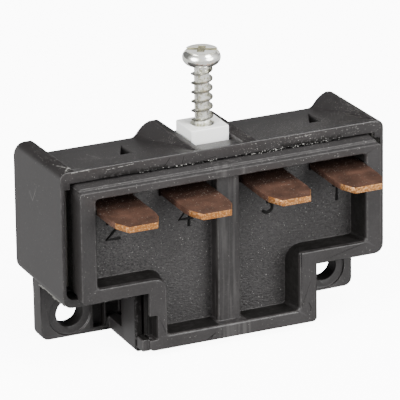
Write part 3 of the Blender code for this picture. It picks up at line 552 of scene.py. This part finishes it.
def agedCopper(name, cutEnds=False):
    finish = Finish(name, metallic=1.0)
    x, y, z = finish.axes()
    cloud = finish.noise(2.2 * mm, 4, 0.65)
    streak = finish.noise(0.35 * mm, 3, 0.6, (4.5, 0.5, 1))
    spots = finish.band(finish.noise(0.5 * mm, 3, 0.7), 0.60, 0.70)
    flecks = finish.band(finish.noise(0.24 * mm, 2, 0.8), 0.70, 0.74)
    base = finish.mix(finish.band(cloud, 0.3, 0.7), copper["dark"], copper["light"])
    base = finish.mix((0.5 * finish.band(streak, 0.45, 0.70)).held(), base, copper["streak"])
    base = finish.mix((spots * 0.45).held(), base, copper["spot"])
    rough = 0.40 + 0.22 * cloud + 0.10 * streak
    if cutEnds:
        cut = cutCopper(finish, x, y)
        torn = finish.band(finish.noise(0.30 * mm, 3, 0.75), 0.60, 0.46)
        torn = torn + 0.3 * finish.band(x, 12 * mm, -4 * mm)
        base = finish.mix(cut, base, finish.mix(torn.held(), copper["cut"], copper["torn"]))
        rough = rough - cut * 0.12
        # painted shade darkens the strip close to the lip, where the lip's shadow falls
        underLip = finish.band(y, frontY - 4.9 * mm, frontY - 3.2 * mm)
        base = finish.mix((underLip * 0.75).held(), base, copper["lipShadow"])
        flecks = finish.band(finish.noise(0.20 * mm, 1, 0.5) + 0.03 * underLip, 0.71, 0.75)
    finish.colour(finish.mix((flecks * 0.6).held(), base, copper["fleck"]))
    finish.rough(rough.held())
    finish.bump(streak, 0.012 * mm, 0.6)
    return finish


nylon = {"cool": (0.90, 0.915, 0.88), "warm": (0.97, 0.97, 0.94), "grime": (0.45, 0.43, 0.40)}


def whiteNylon(name):
    finish = Finish(name)
    cloud = finish.noise(3.0 * mm, 3, 0.5)
    grime = finish.band(finish.noise(0.5 * mm, 3, 0.7), 0.66, 0.74)
    base = finish.mix(cloud, nylon["cool"], nylon["warm"])
    finish.colour(finish.mix((grime * 0.22).held(), base, nylon["grime"]))
    finish.rough((0.28 + 0.15 * cloud).held())
    finish.shader.inputs["Subsurface Weight"].default_value = 0.25
    finish.shader.inputs["Subsurface Radius"].default_value = (1.0, 1.0, 0.9)
    finish.shader.inputs["Subsurface Scale"].default_value = 0.8 * mm
    finish.bump(cloud, 0.02 * mm, 0.4)
    return finish


screwLow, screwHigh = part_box("adjusting_screw")
screw = {
    "axis": ((screwLow.x + screwHigh.x) / 2, (screwLow.y + screwHigh.y) / 2),
    "tip": screwLow.z,
    "top": screwHigh.z,
    "headRadius": (screwHigh.x - screwLow.x) / 2,
    "headHeight": 2.10 * mm,
    "rim": 1.02 * mm,            # radius of the head's rounded rim
    "flat": 2.02 * mm,           # radius of the head's flat top
    "slotTurn": math.radians(-30),
    "slotWidth": 1.00 * mm,
    "slotDepth": 0.62 * mm,
    "crossReach": 1.30 * mm,
    "crossDepth": 0.95 * mm,
    "point": 1.0 * mm,           # length of the blunt point
    "fillet": 0.15 * mm,
    "rootRadius": 1.015 * mm,
    "crestRadius": 1.44 * mm,
    "sunk": 0.12 * mm,           # how deep the ridge's foot lies in the shank
    "footHalf": 0.34 * mm,       # half the ridge's width at its foot, and at its crest
    "crestHalf": 0.05 * mm,
    "pitch": 1.27 * mm,
    "clearTip": 0.8 * mm,        # bare lengths at the tip and under the head
    "clearHead": 0.45 * mm,
}

zinc = {
    "white": (1.0, 1.0, 0.97),
    "warm": (0.94, 0.93, 0.84),
    "tarnish": (0.46, 0.44, 0.28),
    "crest": (0.24, 0.23, 0.20),
    "slot": (0.80, 0.78, 0.66),
}


def zincPlate(name):
    # bright on the head's flat top, with painted shade darkening the thread's crests, and yellowish between
    # them
    finish = Finish(name)
    x, y, z = finish.axes()
    cloud = finish.noise(0.9 * mm, 4, 0.6)
    tarnish = finish.band(finish.noise(0.55 * mm, 3, 0.7), 0.48, 0.60)
    across, back, below = x - screw["axis"][0], y - screw["axis"][1], screw["top"] - z
    fromAxis = across * across + back * back
    onShank = finish.band(below, screw["headHeight"] - 0.05 * mm, screw["headHeight"])
    crest = finish.band(fromAxis, (1.15 * mm) ** 2, (1.40 * mm) ** 2) * onShank
    onFlat = finish.band(below, 0.06 * mm, 0.02 * mm)
    deepest = screw["crossDepth"] + 0.1 * mm
    inSlot = (finish.band(below, 0.05 * mm, 0.10 * mm) * finish.band(below, deepest + 0.05 * mm, deepest)
              * finish.band(fromAxis, (2.0 * mm) ** 2, (1.8 * mm) ** 2))
    base = finish.mix(finish.band(cloud, 0.35, 0.65), zinc["warm"], zinc["white"])
    base = finish.mix((tarnish * onShank * 0.8).held(), base, zinc["tarnish"])
    base = finish.mix((crest * 0.75).held(), base, zinc["crest"])
    base = finish.mix((inSlot * 0.85).held(), base, zinc["slot"])
    finish.colour(base)
    finish.metal((0.95 - 0.35 * onFlat - 0.12 * onShank * (1 - crest)).held())
    finish.rough((0.10 + 0.10 * cloud + 0.08 * tarnish + 0.2 * onFlat).held())
    finish.bump(cloud, 0.02 * mm, 0.8)
    return finish


def brightMetal(name, patch, dull, light, smooth, spread):
    # a plain metal with cloudy patches
    finish = Finish(name, metallic=1.0)
    cloud = finish.noise(patch, 3, 0.6)
    finish.colour(finish.mix(cloud, dull, light))
    finish.rough((smooth + spread * cloud).held())
    return finish


finishes = {
    "housing": housingPlastic(),
    "base": basePlastic(),
    "number": numberPaintedShade(),
    "flash": flashPlastic(),
    "tab": agedCopper("tabCopper", cutEnds=True),
    "bridge": agedCopper("bridgeCopper"),
    "nylon": whiteNylon("plungerNylon"),
    "zinc": zincPlate("screwZinc"),
    "silver": brightMetal("contactSilver", 0.8 * mm, (0.60, 0.59, 0.56), (0.82, 0.81, 0.79), 0.25, 0.25),
    "steel": brightMetal("springSteel", 0.7 * mm, (0.38, 0.38, 0.39), (0.60, 0.60, 0.61), 0.22, 0.20),
}
print("finishes made")


# pieces that keep the CAD's shape, with their edges eased

eased = {"housing": 0.10 * mm, "base": 0.12 * mm, "plunger": 0.14 * mm, "tab": 0.06 * mm}

housing = closeCopy("housing", "housingShell")
softenEdges(housing, eased["housing"])
standFor(housing, "housing", finishes["housing"])

# the base's lower left foot fills the corner in front of the stem's wall; its middle is in mm
foot = {"middle": (-12.35, -1.2, 1.55), "size": (1.1 * mm, 1.8 * mm, 1.6 * mm)}

base = closeCopy("terminal_base", "terminalBaseMoulding")
deselectAll()
bpy.ops.mesh.primitive_cube_add(size=1, location=fromFront(foot["middle"]))
footBlock = bpy.context.object
footBlock.name = "cornerFoot"
footBlock.scale = foot["size"]
applyPlace(footBlock)
combine(base, footBlock, "UNION")
softenEdges(base, eased["base"])
standFor(base, "terminal_base", finishes["base"])

plunger = closeCopy("plunger", "plungerMoulding")
softenEdges(plunger, eased["plunger"])
standFor(plunger, "plunger", finishes["nylon"])

for number in "1234":
    tab = closeCopy("terminal_" + number, "tab" + number)
    softenEdges(tab, eased["tab"])
    standFor(tab, "terminal_" + number, finishes["tab"])
print("moulded and stamped pieces eased")

plain = {
    "bridge": ["left_bridge", "right_bridge"],
    "silver": ["fixed_contact_" + n for n in "1234"] + ["moving_contact_" + n for n in "1234"],
}
for finishName, nodeNames in plain.items():
    for nodeName in nodeNames:
        paint(frame["nodes"][nodeName], finishes[finishName])


# coil springs; each lists its joint, the end that stays put, lower (0) or upper (1), and its travel

springs = {
    "returnCoil": {"node": "return_spring", "joint": "plunger_slide", "fixedEnd": 0, "travel": 2.0 * mm},
    "leftContactCoil": {"node": "left_contact_spring", "joint": "left_bridge_float", "fixedEnd": 1,
                        "travel": 0.8 * mm},
    "rightContactCoil": {"node": "right_contact_spring", "joint": "right_bridge_float", "fixedEnd": 1,
                         "travel": 0.8 * mm},
}


def coilSpring(name, spring):
    coil = closeCopy(spring["node"], name)
    standFor(coil, spring["node"], finishes["steel"])
    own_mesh(coil)


for name, spring in springs.items():
    coilSpring(name, spring)
print("springs coiled")


# adjusting screw, with its thread, rounded head and combined recess

def chain(name, points):
    # an open row of edges in the XZ plane, ready to be spun or screwed
    shape = bpy.data.meshes.new(name)
    shape.from_pydata(points, [(index, index + 1) for index in range(len(points) - 1)], [])
    item = bpy.data.objects.new(name, shape)
    bpy.context.scene.collection.objects.link(item)
    pick(item)
    return item


def spinRound(item, steps=64):
    pick(item)
    bpy.ops.object.mode_set(mode="EDIT")
    bpy.ops.mesh.select_all(action="SELECT")
    bpy.ops.mesh.spin(steps=steps, angle=2 * math.pi, center=(0, 0, 0), axis=(0, 0, 1))
    bpy.ops.mesh.select_all(action="SELECT")
    bpy.ops.mesh.remove_doubles(threshold=1e-6)
    bpy.ops.mesh.normals_make_consistent(inside=False)
    bpy.ops.object.mode_set(mode="OBJECT")


def arc(centre, radius, first, last, steps):
    turn = [math.radians(first + (last - first) * step / steps) for step in range(steps + 1)]
    return [(centre[0] + radius * math.cos(a), 0, centre[1] + radius * math.sin(a)) for a in turn]


def bodyAndHead():
    under = screw["top"] - screw["headHeight"]
    rim = screw["rim"]
    root = screw["rootRadius"]
    fillet = screw["fillet"]
    points = [(0, 0, screw["tip"]), (root * 0.6, 0, screw["tip"]), (root, 0, screw["tip"] + screw["point"]),
              (root, 0, under - fillet), (root + fillet, 0, under)]
    points += arc((screw["headRadius"] - rim, under + rim), rim, -75, 58, 12)
    points += [(screw["flat"] + 0.12 * mm, 0, screw["top"] - 0.05 * mm), (screw["flat"], 0, screw["top"]),
               (0, 0, screw["top"])]
    item = chain("panHeadScrew", points)
    spinRound(item)
    return item


def threadRidge():
    under = screw["top"] - screw["headHeight"]
    low = screw["tip"] + screw["clearTip"]
    turns = int((under - screw["clearHead"] - low) / screw["pitch"])
    inner = screw["rootRadius"] - screw["sunk"]
    outer = screw["crestRadius"]
    item = chain("threadRidge", [
        (inner, 0, low - screw["footHalf"]), (outer, 0, low - screw["crestHalf"]),
        (outer, 0, low + screw["crestHalf"]), (inner, 0, low + screw["footHalf"])])
    bpy.ops.object.mode_set(mode="EDIT")
    bpy.ops.mesh.select_all(action="SELECT")
    bpy.ops.mesh.edge_face_add()
    bpy.ops.object.mode_set(mode="OBJECT")
    wind = item.modifiers.new("wind", "SCREW")
    wind.axis = "Z"
    wind.angle = 2 * math.pi
    wind.screw_offset = screw["pitch"]
    wind.iterations = turns
    wind.steps = 40
    wind.render_steps = 40
    wind.use_merge_vertices = False
    wind.use_smooth_shade = True
    applyModifiers(item)
    bpy.ops.object.mode_set(mode="EDIT")
    bpy.ops.mesh.select_all(action="SELECT")
    bpy.ops.mesh.remove_doubles(threshold=1e-6)
    bpy.ops.mesh.select_all(action="DESELECT")
    bpy.ops.mesh.select_non_manifold()
    bpy.ops.mesh.fill()
    bpy.ops.mesh.select_all(action="SELECT")
    bpy.ops.mesh.normals_make_consistent(inside=False)
    bpy.ops.object.mode_set(mode="OBJECT")
    return item


def cutSlot(item, name, along, depth, turn):
    # a block that starts 1 mm above the head is taken out of it
    deselectAll()
    bpy.ops.mesh.primitive_cube_add(size=1, location=(0, 0, screw["top"] - depth / 2 + 0.5 * mm))
    block = bpy.context.object
    block.name = name
    block.scale = (along, screw["slotWidth"], depth + 1.0 * mm)
    block.rotation_euler = (0, 0, turn)
    applyPlace(block)
    combine(item, block, "DIFFERENCE")


def makeScrew():
    item = bodyAndHead()
    combine(item, threadRidge(), "UNION")
    cutSlot(item, "slot", screw["headRadius"] * 2.2, screw["slotDepth"], screw["slotTurn"])
    for turn in (screw["slotTurn"], screw["slotTurn"] + math.pi / 2):
        cutSlot(item, "cross", screw["crossReach"] * 2, screw["crossDepth"], turn)
    item.location = (*screw["axis"], 0)
    applyPlace(item)
    bpy.ops.object.shade_smooth_by_angle(angle=math.radians(32))
    standFor(item, "adjusting_screw", finishes["zinc"])


makeScrew()
print("screw turned")


# raised numbers on the recess floor, each made of round strokes

numbers = {
    "low": 15.95 * mm,
    "stroke": 0.21 * mm,         # radius of a stroke, half of it stands out of the floor
    "middles": {"2": -15.45 * mm, "4": -5.17 * mm, "3": 6.35 * mm, "1": 16.52 * mm},
}


def bow(centre, radius, first, last, steps=9):
    return [(u, v) for u, flat, v in arc(centre, radius, first, last, steps)]


# strokes in millimetres, from the middle of the number's foot
strokes = {
    "1": [[(-0.5, 1.95), (0.0, 2.65), (0.0, 0.0)]],
    "2": [bow((-0.08, 1.92), 0.76, 168, -42) + [(-1.0, 0.0), (0.95, 0.0)]],
    "3": [bow((0.0, 2.02), 0.66, 165, -80) + bow((0.08, 0.70), 0.74, 88, -150)],
    "4": [[(0.42, 0.0), (0.42, 2.65), (-1.0, 1.05), (1.0, 1.05)]],
}


def raisedNumber(digit, middle):
    curve = bpy.data.curves.new("raisedNumber" + digit, "CURVE")
    curve.dimensions = "3D"
    curve.bevel_depth = numbers["stroke"]
    curve.bevel_resolution = 3
    curve.use_fill_caps = True
    for stroke in strokes[digit]:
        spline = curve.splines.new("POLY")
        spline.points.add(len(stroke) - 1)
        for point, (u, v) in zip(spline.points, stroke):
            point.co = (middle + u * mm, recess["floorY"], numbers["low"] + v * mm, 1.0)
    piece = bpy.data.objects.new("raisedNumber" + digit, curve)
    bpy.context.scene.collection.objects.link(piece)
    pick(piece)
    bpy.ops.object.convert(target="MESH")
    piece = bpy.context.object
    bpy.ops.object.shade_smooth_by_angle(angle=math.radians(50))
    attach(piece, "block")
    paint(piece, finishes["number"])


for digit, middle in numbers["middles"].items():
    raisedNumber(digit, middle)
print("numbers raised")


# ragged flash left by the mould, as strips between two places in mm, y counted from the front edge

flash = {
    "bandEdge": {"start": (-11.9, 0.02, 24.88), "end": (17.0, 0.02, 24.88), "hang": (0, 0, -1),
                 "depth": 0.42 * mm, "steps": 170, "least": 0.05},
    "wingEdge": {"start": (-22.55, 0.4, 8.10), "end": (-22.50, 9.0, 8.10), "hang": (-0.68, 0, -0.73),
                 "depth": 0.30 * mm, "steps": 60, "least": 0.55},
}
chance = random.Random(7)


def settle(piece):
    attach(piece, "block")
    paint(piece, finishes["flash"])


def raggedRibbon(name, run):
    # a thin strip whose free edge is torn
    deselectAll()
    bpy.ops.mesh.primitive_grid_add(x_subdivisions=run["steps"], y_subdivisions=1, size=1)
    ribbon = bpy.context.object
    ribbon.name = name
    start, end, hang = fromFront(run["start"]), fromFront(run["end"]), Vector(run["hang"]).normalized()
    reach = 0.5
    for corner in ribbon.data.vertices:
        free = corner.co.y < 0
        point = start.lerp(end, corner.co.x + 0.5)
        if free:
            reach = min(1.0, max(run["least"], reach + chance.uniform(-0.28, 0.28)))
            point = point + hang * run["depth"] * reach + Vector((0, chance.uniform(-0.05, 0.05) * mm, 0))
        corner.co = point
    thick = ribbon.modifiers.new("thick", "SOLIDIFY")
    thick.thickness = 0.05 * mm
    thick.offset = 0
    applyModifiers(ribbon)
    settle(ribbon)


crumbs = {
    "stretches": [(38, 8.0, 17.0), (22, -11.5, 8.0)],    # how many lie between two x, in mm
    "radius": (0.06, 0.13),
    "proud": 0.06,               # most that they stand out of the front edge
    "z": 24.75,
    "scatter": 0.14,
}


def flashCrumb(spot):
    deselectAll()
    bpy.ops.mesh.primitive_ico_sphere_add(
        subdivisions=1, radius=chance.uniform(*crumbs["radius"]) * mm,
        location=fromFront((spot, -chance.uniform(0.0, crumbs["proud"]),
                            crumbs["z"] + chance.uniform(-crumbs["scatter"], crumbs["scatter"]))))
    crumb = bpy.context.object
    crumb.scale = (chance.uniform(0.8, 2.0), 0.8, chance.uniform(0.6, 1.0))
    applyPlace(crumb)
    return crumb


def flashCrumbs():
    pieces = [flashCrumb(chance.uniform(low, high))
              for count, low, high in crumbs["stretches"] for number in range(count)]
    deselectAll()
    for piece in pieces:
        piece.select_set(True)
    bpy.context.view_layer.objects.active = pieces[0]
    bpy.ops.object.join()
    pieces[0].name = "flashCrumbs"
    applyPlace(pieces[0])
    settle(pieces[0])


for name, run in flash.items():
    raggedRibbon(name, run)
flashCrumbs()
print("flash added")


# floor, light and camera

stage = {
    "paper": (0.95, 0.95, 0.95),
    "paperPale": (0.97, 0.97, 0.97),
    "paperGlow": 9.0,
    "front": 1.2,                # the world's strength in front, behind and under the horizon
    "back": 0.10,
    "below": 0.88,
    "aim": (0, 0, 0.015),        # what the lamps point at
}

# places and sizes in metres, power in watts
lamps = {
    "leftSoftbox": {"place": (-0.60, -0.22, 0.30), "size": 0.56, "power": 8.0},
    "rightSoftbox": {"place": (0.34, -0.62, 0.32), "size": 0.56, "power": 7.0},
    "topSoftbox": {"place": (0.28, -0.30, 0.66), "size": 0.36, "power": 5.0},
}


def makeFloor():
    deselectAll()
    bpy.ops.mesh.primitive_plane_add(size=4.0, location=(0, 0, -0.02 * mm))
    floor = bpy.context.object
    floor.name = "floor"
    finish = Finish("floorPaper", roughness=0.9)
    finish.colour(finish.mix(finish.noise(60 * mm), stage["paper"], stage["paperPale"]))
    finish.shader.inputs["Emission Color"].default_value = (1.0, 1.0, 1.0, 1.0)
    finish.shader.inputs["Emission Strength"].default_value = stage["paperGlow"]
    paint(floor, finish)
    # the world lights the part from below in the floor's place
    floor.visible_diffuse = False
    floor.visible_glossy = False


def makeWorld():
    # bright in front and dark behind, and of its own strength under the horizon
    world = bpy.data.worlds.new("studio")
    bpy.context.scene.world = world
    world.use_nodes = True
    sheet = Sheet(world.node_tree, "Generated")
    x, y, z = sheet.axes()
    background = world.node_tree.nodes["Background"]
    behind = sheet.band(y, -0.2, 0.5)
    above = stage["front"] + behind * (stage["back"] - stage["front"])
    strength = above + sheet.band(z, 0.04, -0.04) * (stage["below"] - above)
    background.inputs["Color"].default_value = (1.0, 1.0, 1.0, 1.0)
    sheet.plug(background.inputs["Strength"], strength)


def softLight(name, place, size, power):
    deselectAll()
    bpy.ops.object.light_add(type="AREA", location=place)
    lamp = bpy.context.object
    lamp.name = name
    lamp.data.shape = "DISK"
    lamp.data.size = size
    lamp.data.energy = power
    towards = Vector(stage["aim"]) - Vector(place)
    lamp.rotation_euler = towards.to_track_quat("-Z", "Y").to_euler()


cameraFit = {
    "azimuth": -24.461,
    "elevation": 21.116,
    "roll": 0.688,
    "distance": 628.0 * mm,
    "target": (0.0, frontY, 15.47 * mm),
    "focalPixels": 4832.0,
    "targetPixel": (225.0, 225.24),
    "imageSize": 400,
    "sensor": 36.0,
}


def makeCamera():
    azimuth = math.radians(cameraFit["azimuth"])
    elevation = math.radians(cameraFit["elevation"])
    roll = math.radians(cameraFit["roll"])
    forward = Vector((-math.sin(azimuth) * math.cos(elevation), math.cos(azimuth) * math.cos(elevation),
                      -math.sin(elevation)))
    level = Vector((math.cos(azimuth), math.sin(azimuth), 0))
    upright = level.cross(forward)
    place = Vector(cameraFit["target"]) - cameraFit["distance"] * forward
    right = level * math.cos(roll) - upright * math.sin(roll)
    up = level * math.sin(roll) + upright * math.cos(roll)
    # turned a little, so that the target lands on its own pixel
    half = cameraFit["imageSize"] / 2
    aside = (cameraFit["targetPixel"][0] - half) / cameraFit["focalPixels"]
    below = (cameraFit["targetPixel"][1] - half) / cameraFit["focalPixels"]
    aim = (forward - aside * right + below * up).normalized()
    right = (right + aside * aim).normalized()
    up = right.cross(aim).normalized()
    deselectAll()
    bpy.ops.object.camera_add()
    camera = bpy.context.object
    camera.name = "photoCamera"
    turn = Matrix((right, up, -aim)).transposed().to_4x4()
    camera.matrix_world = Matrix.Translation(place) @ turn
    camera.data.sensor_width = cameraFit["sensor"]
    camera.data.lens = cameraFit["focalPixels"] / cameraFit["imageSize"] * cameraFit["sensor"]
    camera.data.clip_start = 0.01
    camera.data.clip_end = 50
    camera.data.dof.use_dof = False
    bpy.context.scene.camera = camera


makeFloor()
makeWorld()
for lampName, lamp in lamps.items():
    softLight(lampName, **lamp)
makeCamera()
print("stage and camera set")
